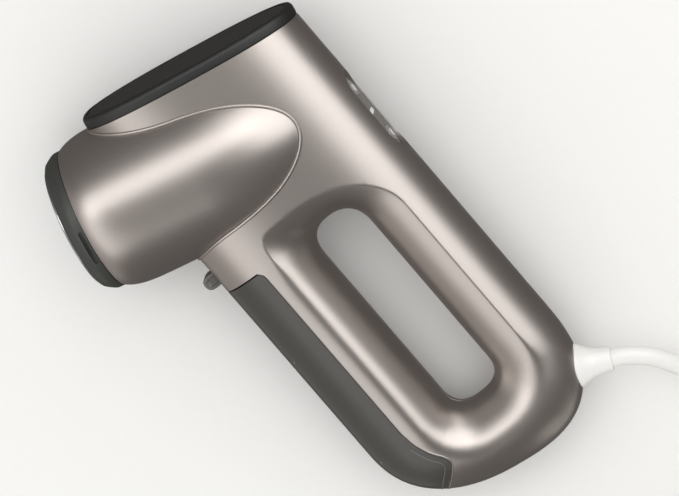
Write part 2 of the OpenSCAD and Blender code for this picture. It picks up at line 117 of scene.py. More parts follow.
def super_wave(angle, n):
    """Cosine and sine of a superellipse of power n."""
    c, s = np.cos(angle), np.sin(angle)
    return np.sign(c) * np.abs(c) ** (2 / n), np.sign(s) * np.abs(s) ** (2 / n)


def new_object(name, points, faces, smooth=40):
    """A mesh object from points and faces, shaded smooth up to an angle in degrees."""
    mesh = bpy.data.meshes.new(name)
    mesh.from_pydata(points.tolist(), [], faces)
    mesh.shade_smooth()
    if smooth < 180:
        mesh.set_sharp_from_angle(angle=math.radians(smooth))
    obj = bpy.data.objects.new(name, mesh)
    scene.collection.objects.link(obj)
    return obj


def grid(name, rows, close_rows=False, caps=True, smooth=40):
    """A surface over a grid of points [row, column], with a face between each four neighbours.

    Columns go round and close. Rows close too, or end in flat caps.
    """
    n, m = rows.shape[:2]
    row = np.arange(n if close_rows else n - 1)[:, None]
    col = np.arange(m)[None, :]
    a, b = row * m, (row + 1) % n * m
    nxt = (col + 1) % m
    faces = np.stack([a + col, a + nxt, b + nxt, b + col], -1).reshape(-1, 4).tolist()
    if caps and not close_rows:
        faces += [list(range(m))[::-1], list(range((n - 1) * m, n * m))]
    return new_object(name, rows.reshape(-1, 3), faces, smooth)


def outward(obj):
    """Turns the faces outwards: the volume under them, the sum of a . (b x c), has to be positive."""
    mesh = obj.data
    mesh.calc_loop_triangles()
    co = np.empty(len(mesh.vertices) * 3)
    mesh.vertices.foreach_get("co", co)
    tri = np.empty(len(mesh.loop_triangles) * 3, np.int32)
    mesh.loop_triangles.foreach_get("vertices", tri)
    t = co.reshape(-1, 3)[tri.reshape(-1, 3)]
    if np.einsum("ij,ij->i", t[:, 0], np.cross(t[:, 1], t[:, 2])).sum() < 0:
        mesh.flip_normals()
    return obj


def lathe(name, profile, at=head_point, sides=192, close=False, smooth=40):
    """A profile of (radius, along) points turned round the axis of at: (r cos a, r sin a, along)."""
    profile = np.asarray(profile, float)
    a = np.linspace(0, 2 * math.pi, sides, endpoint=False)
    r, t = profile[:, :1], profile[:, 1:]
    return outward(grid(name, at(r * np.cos(a), r * np.sin(a), t + 0 * a), close, True, smooth))


def boolean(obj, other, operation="DIFFERENCE", smooth=30):
    """Cuts a closed mesh by another one, or keeps what they share, and drops the other one."""
    step = obj.modifiers.new("cut", "BOOLEAN")
    step.operation, step.solver, step.object = operation, "MANIFOLD", other
    bpy.context.view_layer.update()
    done = bpy.data.meshes.new_from_object(obj.evaluated_get(bpy.context.evaluated_depsgraph_get()))
    obj.modifiers.clear()
    obj.data = done
    done.shade_smooth()
    done.set_sharp_from_angle(angle=math.radians(smooth))
    bpy.data.objects.remove(other)
    return obj


def prism(name, outline, low, high, axis=2):
    """A closed prism over an outline of two coordinates, from low to high along an axis."""
    outline = np.asarray(outline, float)
    return outward(grid(name, np.stack([np.insert(outline, axis, level, 1) for level in (low, high)])))


def frames_along(path, closed=False, up=(0, 0, 1)):
    """Two unit vectors square to a path at each point: direction x up, and that x direction."""
    d = np.roll(path, -1, 0) - np.roll(path, 1, 0) if closed else np.gradient(path, axis=0)
    d /= np.linalg.norm(d, axis=1)[:, None]
    side = np.cross(d, np.asarray(up, float))
    side /= np.linalg.norm(side, axis=1)[:, None]
    return side, np.cross(side, d)


def swept(name, path, section, closed=False, up=(0, 0, 1), smooth=40):
    """A closed section of (side, top) points carried along a path: path + side * s + top * t."""
    path, section = np.asarray(path, float), np.asarray(section, float)
    side, top = frames_along(path, closed, up)
    rows = path[:, None] + section[None, :, :1] * side[:, None] + section[None, :, 1:] * top[:, None]
    return outward(grid(name, rows, closed, True, smooth))


def circle(radius, sides=12):
    """Outline of a circle: radius times (cos a, sin a)."""
    a = np.linspace(0, 2 * math.pi, sides, endpoint=False)
    return np.stack([radius * np.cos(a), radius * np.sin(a)], 1)


def stadium(grow, straight=11.5, radius=9.0, sides=96):
    """Outline of two half circles joined by straights: a circle whose halves are moved apart."""
    a = np.linspace(0, 2 * math.pi, sides, endpoint=False) + math.pi / sides
    r = radius + grow
    return np.stack([np.sign(np.cos(a)) * straight + r * np.cos(a), r * np.sin(a)], 1)


def resample(path, step, closed=False):
    """Points at even steps along a polyline."""
    path = np.asarray(path, float)
    if closed:
        path = np.vstack([path, path[:1]])
    s = np.r_[0, np.cumsum(np.linalg.norm(np.diff(path, axis=0), axis=1))]
    n = max(4, int(round(s[-1] / step)))
    at = np.linspace(0, s[-1], n + (0 if closed else 1), endpoint=not closed)
    return np.stack([np.interp(at, s, path[:, k]) for k in range(path.shape[1])], 1)


def through(points, per=12):
    """A Catmull-Rom curve through points, per points to a span."""
    p = np.asarray(points, float)
    p = np.vstack([2 * p[0] - p[1], p, 2 * p[-1] - p[-2]])
    t = np.linspace(0, 1, per, endpoint=False)[:, None]
    out = []
    for a, b, c, d in zip(p[:-3], p[1:-2], p[2:-1], p[3:]):
        bend, twist = 2 * a - 5 * b + 4 * c - d, 3 * b - a - 3 * c + d
        out.append(0.5 * (2 * b + (c - a) * t + bend * t**2 + twist * t**3))
    return np.vstack([*out, p[-2:-1]])


def place(obj, body="case", nodes=(), slot=None):
    """Lays a piece on the table, ties it to its body, and hides the nodes it stands for."""
    co = np.empty(len(obj.data.vertices) * 3)
    obj.data.vertices.foreach_get("co", co)
    obj.data.vertices.foreach_set("co", seated(co.reshape(-1, 3)).astype(np.float32).ravel())
    obj.data.update()
    return tie(obj, body, nodes, slot)


def tie(obj, body="case", nodes=(), slot=None):
    """Ties a piece in the row frame to its body."""
    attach(obj, body)
    if nodes:
        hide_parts(*nodes)
    if slot:
        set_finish(obj, slot)
    return obj


# ---- the body: one surface over its side outline ----

# Power of the superellipses, depth from front to back, its middle, half the thickness, and the case's wall
POWER = 2.5
DEPTH, MID, HALF = 106.0, 53.0, 26.5
WALL = 2.4
# Where the handle's straight sides begin and end, and the rounded base beyond them
LEG_START, LEG_END = 115.0, 195.0
BASE_LENGTH, BASE_SKEW = 48.2, 0.15
# The handle's opening: its straight sides, middle, half width, and its reach towards the cap and the base
OPENING_FRONT, OPENING_BACK = 44.2, 71.0
OPENING_MID, OPENING_HALF = 57.6, 13.4
OPENING_TOP, OPENING_END = 15.2, 11.5
# The ridge round the opening, where the flank turns in: its sides, and its reach towards the cap and the base
RIDGE_FRONT, RIDGE_BACK = 29.5, 91.5
RIDGE_MID, RIDGE_HALF = 60.5, 31.0
RIDGE_TOP, RIDGE_END = 31.2, 31.5
RIDGE_TURN = 50.5


def flank_z(x, y, w=0.0):
    """Height of the flank: half * (1 - u^n - s^n)^(1/n), with u across the depth and s out over the base."""
    u = np.abs(y - MID) / (MID - w)
    s = np.maximum(0, x - LEG_END) / (BASE_LENGTH - w + BASE_SKEW * BASE_LENGTH * (y - MID) / MID)
    return (HALF - w) * np.maximum(0, 1 - u**POWER - s**POWER) ** (1 / POWER)


def station_lines(w, counts):
    """Opening edge, ridge line and outline of the body drawn in by w, at stations that run round the opening.

    The four parts are the back's straight, the base's turn, the front's straight and the cap's end. Straights
    are lines, turns are superellipses, and at the cap's end the outline follows the cap's slope.
    """
    edge, ridge, rim = [], [], []
    for part, count in enumerate(counts):
        f = np.arange(count) / count
        x = LEG_START + (LEG_END - LEG_START) * (f if part == 0 else 1 - f)
        a = math.pi / 2 - math.pi * f
        c, s = super_wave(a, POWER)
        if part in (0, 2):
            at_back = (OPENING_BACK + w, RIDGE_BACK, DEPTH - w)
            at_front = (OPENING_FRONT - w, RIDGE_FRONT, w)
            edge_y, ridge_y, rim_y = at_back if part == 0 else at_front
            edge.append(np.stack([x, 0 * x + edge_y], 1))
            ridge.append(np.stack([x, 0 * x + ridge_y], 1))
            rim.append(np.stack([x, 0 * x + rim_y], 1))
        elif part == 1:
            edge.append(np.stack([LEG_END + (OPENING_END + w) * c, OPENING_MID + (OPENING_HALF + w) * s], 1))
            ridge.append(np.stack([LEG_END + RIDGE_END * c, RIDGE_MID + RIDGE_HALF * s], 1))
            reach = BASE_LENGTH - w + BASE_SKEW * BASE_LENGTH * s
            rim.append(np.stack([LEG_END + reach * c, MID + (MID - w) * s], 1))
        else:
            edge_x = LEG_START - (OPENING_TOP + w) * c
            edge.append(np.stack([edge_x, OPENING_MID - (OPENING_HALF + w) * s], 1))
            square_c, square_s = super_wave(a, 6)
            front_y = RIDGE_TURN - (RIDGE_TURN - RIDGE_FRONT) * square_s
            front = np.stack([LEG_START - RIDGE_TOP * square_c, front_y], 1)
            back_y = RIDGE_TURN - (RIDGE_BACK - RIDGE_TURN) * np.sin(a)
            behind = np.stack([LEG_START - RIDGE_TOP * np.cos(a), back_y], 1)
            ridge.append(np.where(a[:, None] > 0, front, behind))
            top = [w * 1.02 + CAP_SLOPE * y for y in (w, DEPTH - w)]
            along = [0, 0.25, 0.8, 1]
            rim_x = np.interp(f, along, [LEG_START, *top, LEG_START])
            rim.append(np.stack([rim_x, np.interp(f, along, [w, w, DEPTH - w, DEPTH - w])], 1))
    return np.vstack(edge), np.vstack(ridge), np.vstack(rim)


def softness_at(ridge):
    """How soft the ridge is: 0 along the grip and the cap's end, 1 round the base and the front leg."""
    x, y = ridge.T
    front = np.clip((44 - y) / 8, 0, 1) * np.clip((x - 96) / 14, 0, 1)
    base = np.clip((x - 192) / 16, 0, 1)
    return np.maximum(front, base)


def body_rows(w, counts, rings, soften=True):
    """Rings of the upper half, from the opening edge over the ridge to the outline, as [ring, station].

    From the edge to the ridge the height climbs as part of an ellipse; from there it is the flank's. The
    rings lie at even lengths along each station's path, and a Gaussian rounds the ridge by softness_at.
    """
    edge, ridge, rim = station_lines(w, counts)
    q = (np.linspace(0, 1, 61) ** 2)[:, None, None]
    s = (1 - (1 - np.linspace(0, 1, 81)[1:]) ** POWER)[:, None, None]
    climb = np.sqrt(1 - (1 - 0.65 * q) ** 2) / math.sqrt(1 - 0.35**2)
    inner = edge + (ridge - edge) * q
    outer = ridge + (rim - ridge) * s
    inner = np.concatenate([inner, flank_z(*ridge.T, w)[None, :, None] * climb], 2)
    outer = np.concatenate([outer, flank_z(outer[..., 0], outer[..., 1], w)[..., None]], 2)
    path = np.concatenate([inner, outer])
    step = np.linalg.norm(np.diff(path, axis=0), axis=2)
    length = np.vstack([np.zeros(step.shape[1]), np.cumsum(step, 0)])
    at = np.linspace(0, 1, rings)[:, None] * length[-1]
    out = np.empty((rings, path.shape[1], 3))
    for k in range(path.shape[1]):
        for axis in range(3):
            out[:, k, axis] = np.interp(at[:, k], length[:, k], path[:, k, axis])
    if soften:
        soft = softness_at(ridge)
        x_ridge = ridge[:, 0]
        away = np.abs(at - length[60])
        width = 0.3 + 2.0 * soft * (1 + np.clip((x_ridge - 200) / 12, 0, 1))
        near = np.clip((5 * width + 1 - away) / (2 * width), 0, 1)
        near = near * near * (3 - 2 * near)
        smooth = np.empty_like(out)
        for k in range(out.shape[1]):
            gap = length[-1, k] / (rings - 1)
            reach = int(min(rings // 3, math.ceil(3 * width[k] / gap)))
            kernel = np.exp(-0.5 * (np.arange(-reach, reach + 1) * gap / width[k]) ** 2)
            kernel /= kernel.sum()
            for axis in range(3):
                v = out[:, k, axis]
                v = np.r_[2 * v[0] - v[reach:0:-1], v, 2 * v[-1] - v[-2:-2 - reach:-1]]
                smooth[:, k, axis] = np.convolve(v, kernel, "valid")
        out += (smooth - out) * near[..., None]
    out[..., 2] = np.maximum(out[..., 2], 0.3)
    return out


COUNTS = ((40, 120, 40, 200))
RINGS = 150
INNER_RINGS = 24
upper = body_rows(0, COUNTS, RINGS)
inner_wall = body_rows(WALL, COUNTS, INNER_RINGS, False)


def shell_half(name, side):
    """Half of the case: outer surface, a small groove at the parting line, and inner wall, closed up."""
    groove, off_middle = 0.25, 0.03
    edge, _, rim = station_lines(groove, COUNTS)
    level = np.full((1, len(edge), 1), off_middle)
    inner = inner_wall.copy()
    inner[[0, -1], :, 2] = off_middle
    edge_row = np.concatenate([edge[None], level], 2)
    rim_row = np.concatenate([rim[None], level], 2)
    rows = np.concatenate([edge_row, upper, rim_row, inner[::-1]])
    rows[..., 2] *= side
    return outward(grid(name, rows, True, smooth=30))


# The tank's seam in the side view, from the front edge under the head, down the leg and over the base
TANK_LINE = np.array([[97.6, -4], [97.6, 19.5], [99.6, 21.5], [195, 21.5], [203, 22.8], [210, 25.6],
                      [215.5, 29.4], [218.5, 30.4], [221.5, 28.8], [232, 17], [240, 8], [240, -4]])


def offset_line(line, grow):
    """A closed outline grown outwards by shifting each side and meeting the shifted sides again."""
    d = np.roll(line, -1, 0) - line
    d /= np.linalg.norm(d, axis=1)[:, None]
    n = np.stack([d[:, 1], -d[:, 0]], 1)
    area = (line[:, 0] * np.roll(line[:, 1], -1) - np.roll(line[:, 0], -1) * line[:, 1]).sum()
    n = n if area > 0 else -n
    before = np.roll(n, 1, 0)
    return line + grow * (n + before) / (1 + (n * before).sum(1))[:, None]


def tank_curve(grow):
    """The tank's outline with its corners rounded, grown outwards."""
    line = offset_line(TANK_LINE, grow)
    smooth = resample(line[1:-1], 0.4)
    kernel = np.hanning(17)
    kernel /= kernel.sum()
    pad = 8
    for k in range(2):
        v = smooth[:, k]
        v = np.r_[2 * v[0] - v[pad:0:-1], v, 2 * v[-1] - v[-2:-2 - pad:-1]]
        smooth[:, k] = np.convolve(v, kernel, "valid")
    return np.vstack([line[:1], smooth, line[-1:]])


# Gap between tank and case, and the radius of the case's lip
GAP, LIP = 0.35, 0.4
PANEL_X = 75.5
left_half = shell_half("case_left", 1)
right_half = shell_half("case_right", -1)


def panel_cutter():
    """A stadium that flares where it leaves the body, so that the recess gets a bevelled edge."""
    rows = []
    for y, grow in [(90, 0.15), (103.9, 0.15), (105.4, 1.5), (110, 6.0)]:
        line = stadium(grow)
        rows.append(np.stack([line[:, 0] + PANEL_X, 0 * line[:, 0] + y, line[:, 1]], 1))
    return outward(grid("cutter", np.stack(rows)))


for half in (left_half, right_half):
    boolean(half, prism("cutter", tank_curve(GAP + LIP), -40, 40))
    boolean(half, panel_cutter())
    latch_hole = [[81.5, -5.4], [97.5, -5.4], [97.5, 5.4], [81.5, 5.4]]
    boolean(half, prism("cutter", latch_hole, -3, 6, 1))
well_profile = [(3, -40), (3, -6.2), (1.75, -6.2), (1.75, 1)]
for x, y in [[30, 93], [110, 98.5], [200, 95.5], [101, 27.2], [222, 68]]:
    boolean(right_half, lathe("cutter", well_profile, lambda u, v, t: np.stack([x + u, y + v, t], -1), 48))
place(left_half, nodes=["left_shell"], slot="painted_shell")
place(right_half, nodes=["right_shell"], slot="painted_shell")

# ---- rounded lips along the tank's seam ----


def seam_path(grow, side):
    """The seam over the flank, from the front edge round the tank and back to the front edge."""
    line = resample(tank_curve(grow)[1:-1], 0.5)
    z = flank_z(line[:, 0], line[:, 1])
    keep = (line[:, 1] > 0.4) & (z > 0.5)
    return np.stack([line[keep, 0], line[keep, 1], side * z[keep]], 1)


for side, name in ((1, "seam_lip_left"), (-1, "seam_lip_right")):
    path = seam_path(GAP + LIP, side)
    path[:, 2] -= side * LIP
    place(swept(name, path, circle(LIP, 12)), slot="painted_shell")

# ---- water tank: outer surface inside its outline, hollow, smoky ----


def whole_body(name, rows):
    """The closed body from one half's rings and their mirror."""
    low = rows[::-1].copy()
    low[..., 2] *= -1
    return outward(grid(name, np.concatenate([rows, low]), True, smooth=30))


TANK_WALL = 2.0
tank = whole_body("tank", upper)
boolean(tank, prism("cutter", tank_curve(0), -40, 40), "INTERSECT")
cavity = whole_body("cavity", body_rows(TANK_WALL, COUNTS, 40, False))
cavity_line = [[99.8, -4], [99.8, 40], [194.6, 40], [194.6, 19.5], [203, 20.8], [210, 23.6], [215, 26.6],
               [219, 25.5], [229, 14.5], [236, 6], [236, -4]]
boolean(cavity, prism("cutter", cavity_line, -40, 40), "INTERSECT")
boolean(tank, cavity)
place(tank, "tank", ["tank_shell"], "tank_smoke")
for side, name in ((1, "tank_lip_left"), (-1, "tank_lip_right")):
    path = seam_path(0, side)
    path[:, 2] -= side * 0.42
    place(swept(name, path, circle(0.3, 12)), "tank", slot="tank_smoke")
    # A painted highlight: a pale line set in from the tank's lower end, for the light where the wall's inner
    # edge shows through
    inset = seam_path(-2.7, side)
    inset = inset[(inset[:, 0] > 203) & (inset[:, 1] > 6)]
    inset[:, 2] -= side * 0.14
    place(swept(name + "_inner", inset, circle(0.3, 8)), "tank", slot="tank_smoke")
    # Two small moulded pips near the front edge, whose paler finish is a painted glint
    for k, (x, y) in enumerate(((140.4, 4.3), (201.1, 4.6))):
        z = side * float(flank_z(np.array(x), np.array(y)))
        pip = lathe(name + "_pip_%d" % k, [(0.75, -0.3), (0.75, 0.0), (0.62, 0.16), (0.4, 0.26), (0.05, 0.3)],
                    lambda u, v, t: np.stack([x + u, y + v - 0.75 * t, z + side * t * 0.66 + 0 * u], -1), 24)
        place(pip, "tank", slot="tank_smoke")

# ---- steam head, its seam and the front ring ----

# The head's largest radius, how much it swells to it, where along the axis that is, and how long the tail is
HEAD_R, HEAD_SWELL, HEAD_WIDEST, HEAD_TAIL = 37.5, 3.9, 30, 66


def head_radius(t):
    """Radius of the head: a ninth-power swell over 56 mm from the ring on, then an elliptic tail."""
    front = HEAD_R - HEAD_SWELL * (np.maximum(0, HEAD_WIDEST - t) / 56) ** 9
    tail = HEAD_R * np.sqrt(np.maximum(0, 1 - ((t - HEAD_WIDEST) / HEAD_TAIL) ** 2))
    return np.where(t < HEAD_WIDEST, front, tail)


HEAD_FRONT = -25.7
swell_t = HEAD_FRONT + (HEAD_WIDEST - HEAD_FRONT) * np.linspace(0, 1, 70) ** 1.6
t = np.r_[swell_t, np.linspace(30.5, 80, 60)]
outside = np.stack([head_radius(t), t], 1)
outside = np.vstack([[33.35, -26.0], [33.5, -25.95], outside])
inside = np.stack([head_radius(t[::6]) - WALL, t[::6]], 1)
head = lathe("head", np.vstack([outside, inside[::-1]]), close=True, smooth=30)
head_window = prism("cutter", [[72, -12.5], [92, -12.5], [92, 12.5], [72, 12.5]], 27, 46, 1)
boolean(head, head_window)
place(head, nodes=["head_shell"], slot="painted_shell")


def head_z(x, y):
    """Height of the head over a point of the side view, sqrt(radius^2 - across^2), or 0 outside it."""
    along = (x - HEAD_X) * math.sin(HEAD_TILT) + y * math.cos(HEAD_TILT)
    across = (x - HEAD_X) * math.cos(HEAD_TILT) - y * math.sin(HEAD_TILT)
    r = np.where((along > -26) & (along < 96), head_radius(along), 0)
    return np.sqrt(np.maximum(0, r**2 - across**2))


def head_seam(offset, count=420):
    """The line where the head meets the flank, moved out by offset.

    On each ray from the head's middle, halving finds the last point where the head stands above the flank.
    """
    centre = np.array([45.0, 24.0])
    angle = np.radians(np.linspace(-128, 146, count))
    d = np.stack([np.sin(angle), np.cos(angle)], 1)
    low, high = np.zeros(count), np.full(count, 90.0)
    for _ in range(40):
        mid = (low + high) / 2
        p = centre + d * mid[:, None]
        inside_head = (head_z(*p.T) > flank_z(*p.T)) & (p[:, 1] > 0)
        low, high = np.where(inside_head, mid, low), np.where(inside_head, high, mid)
    p = centre + d * (low + offset)[:, None]
    return np.stack([p[:, 0], p[:, 1], flank_z(*p.T)], 1)


def head_line(offset, lift, side):
    """The head's seam on one side, cut off at the front and at the cap, raised by lift, in even steps."""
    line = head_seam(offset)
    line = line[(line[:, 1] > 0.15) & (line[:, 0] > 0.5)]
    line[:, 2] = side * (line[:, 2] + lift)
    return resample(line, 0.6)


# A rounded bead where the head grows out of the flank, and a thin black tube inside it as painted shade in
# the fine gap
for side, tag in ((1, "left"), (-1, "right")):
    place(swept("head_bead_" + tag, head_line(0.7, 0.05, side), circle(0.75, 12)), slot="painted_shell")
    place(swept("head_gap_" + tag, head_line(0.1, 0, side), circle(0.3, 10)), slot="black_trim")

# The head's front edge, rounded
edge_profile = circle(0.3, 12) + [33.2, -25.95]
place(lathe("head_edge", edge_profile, close=True, sides=256, smooth=180), slot="painted_shell")

# Front ring: it tapers to the plate, and a long groove is sunk into each side
ring_profile = [(29.5, -34.5), (29.9, -34.5), (30.4, -34.4), (30.9, -34.05), (31.3, -33.5), (32.0, -32.4),
                (32.7, -31.2), (33.25, -30.2), (33.5, -29.5), (33.6, -28.8), (33.6, -26.75), (33.45, -26.5),
                (33.1, -26.4), (29.5, -26.2)]
GROOVE_AT, GROOVE_LEAN = -28.2, math.radians(11)
ring = lathe("ring", ring_profile, close=True, sides=256, smooth=50)
for side in (1, -1):
    groove_line = stadium(0, 7.6, 1, 64)
    rows = []
    for up in (31.6, 35):
        across = groove_line[:, 0] * math.cos(GROOVE_LEAN) + up * math.sin(GROOVE_LEAN)
        height = up * math.cos(GROOVE_LEAN) - groove_line[:, 0] * math.sin(GROOVE_LEAN)
        rows.append(head_point(across, side * height, GROOVE_AT + groove_line[:, 1]))
    boolean(ring, outward(grid("cutter", np.stack(rows))))
place(ring, nodes=["front_ring"], slot="ring_plastic")

# Steam plate: flat with a rounded rim and two rings of countersunk steam holes
plate_profile = [(r, -35.6) for r in (0.3, 5, 10, 15, 20, 24, 27.5)]
plate_profile += [(28.2, -35.54), (28.7, -35.42), (29.2, -35.0), (29.2, -31.6)]
hole_profile = [(2.1, -36), (1.3, -34.9), (1.3, -30)]
plate = lathe("steam_plate_face", plate_profile, sides=192)
for radius, count in ((20, 12), (11, 6)):
    for k in range(count):
        a = 2 * math.pi * k / count
        x, y = radius * math.cos(a), radius * math.sin(a)
        boolean(plate, lathe("cutter", hole_profile, lambda u, v, t: head_point(u + x, v + y, t), 32))
place(plate, nodes=["steam_plate"], slot="plate_metal")

# ---- cap ----


def cap_point(u, v, t):
    """A point of the cap's frame: u through the thickness, v along the depth, t outwards."""
    outwards = np.array([-math.cos(CAP_TURN), math.sin(CAP_TURN), 0])
    deep = np.array([math.sin(CAP_TURN), math.cos(CAP_TURN), 0])
    base = np.array([CAP_SLOPE * MID, MID, 0])
    u, v, t = np.broadcast_arrays(u, v, t)
    return base + v[..., None] * deep + t[..., None] * outwards + u[..., None] * np.array([0, 0, 1])


def cap_rows(levels, sides=240):
    """Rings of the cap's superellipse outline, each drawn in by an inset at a height."""
    c, s = super_wave(np.linspace(0, 2 * math.pi, sides, endpoint=False), POWER)
    half = MID / math.cos(CAP_TURN)
    rows = []
    for inset, t in levels:
        rows.append(cap_point((HALF - inset) * c, (half - inset) * s, t + 0 * c))
    return np.stack(rows)


# (inset, height) of the cap's rounded rim, and of the dimpled face sunk into it
cap_levels = [(0.35, 0.12), (0.05, 0.4), (0, 0.8), (0, 3.3), (0.12, 4.1), (0.45, 4.8), (0.95, 5.3),
              (1.5, 5.55), (2.0, 5.6), (2.9, 5.6), (3.2, 5.45), (3.3, 4.4), (3.3, 2.6), (3.0, 2.6),
              (3.0, 0.12)]
cap = outward(grid("cap", cap_rows(cap_levels), smooth=50))
place(cap, nodes=["top_cap"], slot="black_trim")
insert_levels = [(3.4, 4.4), (3.4, 5.2), (3.55, 5.35), (3.8, 5.4), (6, 5.4), (12, 5.4), (20, 5.4),
                 (26.2, 5.4)]
insert = outward(grid("cap_mesh", cap_rows(insert_levels), smooth=50))
place(insert, nodes=["cap_insert"], slot="black_trim")

# ---- control panel with two buttons and a light bar ----

# The panel's face, and where its two buttons lie along it
PANEL_Y, POWER_U, MODE_U = 103.6, -13.5, 13.0


def panel_point(u, v, t):
    """A point of the panel's frame: u along the body, v through the thickness, t outwards from its face."""
    u, v, t = np.broadcast_arrays(u, v, t)
    return np.stack([PANEL_X + u, PANEL_Y + t, v], -1)


def panel_block(name, levels, outline, smooth=40):
    """A block on the panel: an outline drawn by grow at each (grow, height) of levels."""
    lines = [(outline(grow), height) for grow, height in levels]
    rows = [panel_point(line[:, 0], line[:, 1], height + 0 * line[:, 0]) for line, height in lines]
    return outward(grid(name, np.stack(rows), smooth=smooth))


def bar_line(grow):
    """Outline of the light bar, a short stadium that stands across the body."""
    return stadium(grow, 3.6, 1.3, 64)[:, ::-1]


panel_levels = [(-0.1, -2.5), (-0.1, -0.5), (-0.25, -0.15), (-0.6, 0), (-2.5, 0), (-6.0, 0), (-8.9, 0)]
panel = panel_block("panel", panel_levels, stadium, 35)
seat_profile = [(4.4, -5), (4.4, -0.35), (5.2, 0.5)]
for u in (POWER_U, MODE_U):
    boolean(panel, lathe("cutter", seat_profile, lambda a, b, t: panel_point(a + u, b, t), 96))
boolean(panel, panel_block("cutter", [(0, -5), (0, 2)], bar_line))
place(panel, nodes=["control_panel"], slot="panel_grey")

bar_levels = [(-0.1, -2.5), (-0.1, -0.1), (-0.25, 0.08), (-0.6, 0.1), (-1.2, 0.1)]
light_bar = panel_block("light_bar", bar_levels, bar_line, 50)
place(light_bar, nodes=["indicator_lens"], slot="lens_white")


def button(name, body, node, u):
    """A button: a turned cap with a shallow dish and a rounded edge."""
    profile = [(5.2, -3.4), (5.2, -2.7), (4.2, -2.6), (4.2, 0.35), (4.05, 0.58), (3.75, 0.7), (3.3, 0.68),
               (2.4, 0.56), (1.2, 0.5), (0.1, 0.48)]
    obj = lathe(name, profile, lambda a, b, t: panel_point(a + u, b, t), 96)
    return place(obj, body, [node], "button_grey")


button("power_key", "power", "power_button", POWER_U)
button("mode_key", "mode", "mode_button", MODE_U)

# Printed signs: an open ring with a stroke, and two waves of steam
a = np.radians(np.linspace(35, 325, 40))
ring_path = panel_point(POWER_U + 1.7 * np.cos(a), 1.7 * np.sin(a), 0.57 + 0 * a)
stroke_path = panel_point(POWER_U + np.linspace(0.5, 2.2, 6), 0 * np.arange(6), np.full(6, 0.57))
u = np.linspace(-1.9, 1.9, 24)
signs = [("power_sign_ring", "power", ring_path), ("power_sign_stroke", "power", stroke_path)]
for k, v in enumerate((-0.8, 0.8)):
    wave_path = panel_point(MODE_U + u, v + 0.38 * np.sin(u * 2.2), 0.56 + 0 * u)
    signs.append(("mode_sign_%d" % k, "mode", wave_path))
for name, body, path in signs:
    place(swept(name, path, circle(0.16, 8), up=(0, 1, 0)), body, slot="lens_white")

# ---- release latch: a tongue with a rounded, slightly hollow finger tab ----

tab = [[86, 0.6], [86, -3], [86.35, -4.7], [87.3, -5.9], [88.7, -6.45], [90.3, -6.45], [91.7, -5.9],
       [92.65, -4.7], [93, -3], [93, 0.6]]
tab_line = resample(np.array(tab), 0.3)
middle = np.array([89.5, -1.5])
rows = []
# (height, how far the outline is drawn in): rounded edges, and a shallow hollow in the upper face
tab_levels = [(-4.8, 0.7), (-4.6, 0.25), (-4.2, 0.0), (4.2, 0.0), (4.6, 0.25), (4.8, 0.7), (4.8, 1.5),
              (4.2, 1.9), (4.2, 3.0)]
for z, inset in tab_levels:
    p = tab_line + (middle - tab_line) * (inset / 3.6)
    rows.append(np.stack([p[:, 0], np.maximum(p[:, 1], -6.45), z + 0 * p[:, 0]], 1))
latch_tab = outward(grid("latch_tab", np.stack(rows), smooth=50))
tongue = [[84.5, 0.6], [96.6, 0.6], [96.6, 3.4], [95.8, 4.2], [84.5, 4.2]]
latch_tongue = prism("latch_tongue", tongue, -4.8, 4.8)
place(latch_tab, "latch", ["tank_latch"], "panel_grey")
place(latch_tongue, "latch", slot="panel_grey")

# ---- strain relief ----


def relief_frame(u, v, t):
    """A point of the strain relief's frame: u in the side view, v through the thickness, t along its axis."""
    u, v, t = np.broadcast_arrays(u, v, t)
    across = np.array([math.cos(RELIEF_TILT), -math.sin(RELIEF_TILT), 0])
    return relief_point(t[..., None]) + u[..., None] * across + v[..., None] * np.array([0, 0, 1])


flare_t = np.linspace(0.4, 14.7, 40)
flare_r = 5.6 + 4.6 * np.exp(-((flare_t / 5.6) ** 1.3))
relief_profile = [(4.4, -11), (8, -11), (8, -6), (10.2, -6), (10.2, 0), *zip(flare_r, flare_t), (5.5, 15.3),
                  (5.2, 15.5), (4.4, 15.5)]
relief = lathe("relief", relief_profile, relief_frame, 128, True, 40)
place(relief, nodes=["strain_relief"], slot="white_plastic")

# ---- cord: out of the relief, down to the table, round the coil and up into its plug ----

# The cord's diameter and the middle of the coil. From here on, places are millimetres in the row frame.
CORD_D = 8.6
COIL_AT = np.array([257, 65])
route = [seated(relief_point(k)) * 1000 for k in (-11.5, -4, 4, 10, 15.5, 21.5)]
route += [[122, 89, 22.6], [130, 94, 19], [140, 98, 14], [152, 101, 9.5], [166, 104.5, 6.6], [182, 109, 5.5],
          [200, 113.8, 5.5], [219, 118, 5.5], [238, 120.5, 5.5]]
# The coil: each turn keeps to one radius and one layer, and eases over to the next in its last sixth
TURNS, POINTS_A_TURN, EASE = 7.19, 16, 0.16
OUTER, LOWEST = 56.1, 5.5
lanes = OUTER - CORD_D * np.array([0, 1, 2, 2, 1, 0, 0, 0, 0])
layers = LOWEST + CORD_D * np.array([0, 0, 0, 1, 1, 1, 2, 2, 2])
turned = np.linspace(0, TURNS, int(TURNS * POINTS_A_TURN) + 1)[:-1]
whole = np.floor(turned).astype(int)
ease = np.clip((turned - whole - (1 - EASE)) / EASE, 0, 1)
ease = ease * ease * (3 - 2 * ease)
coil_r = lanes[whole] + (lanes[whole + 1] - lanes[whole]) * ease
coil_z = layers[whole] + (layers[whole + 1] - layers[whole]) * ease
angle = math.pi / 2 - 2 * math.pi * turned
coil = np.stack([COIL_AT[0] + coil_r * np.cos(angle), COIL_AT[1] + coil_r * np.sin(angle), coil_z], 1)
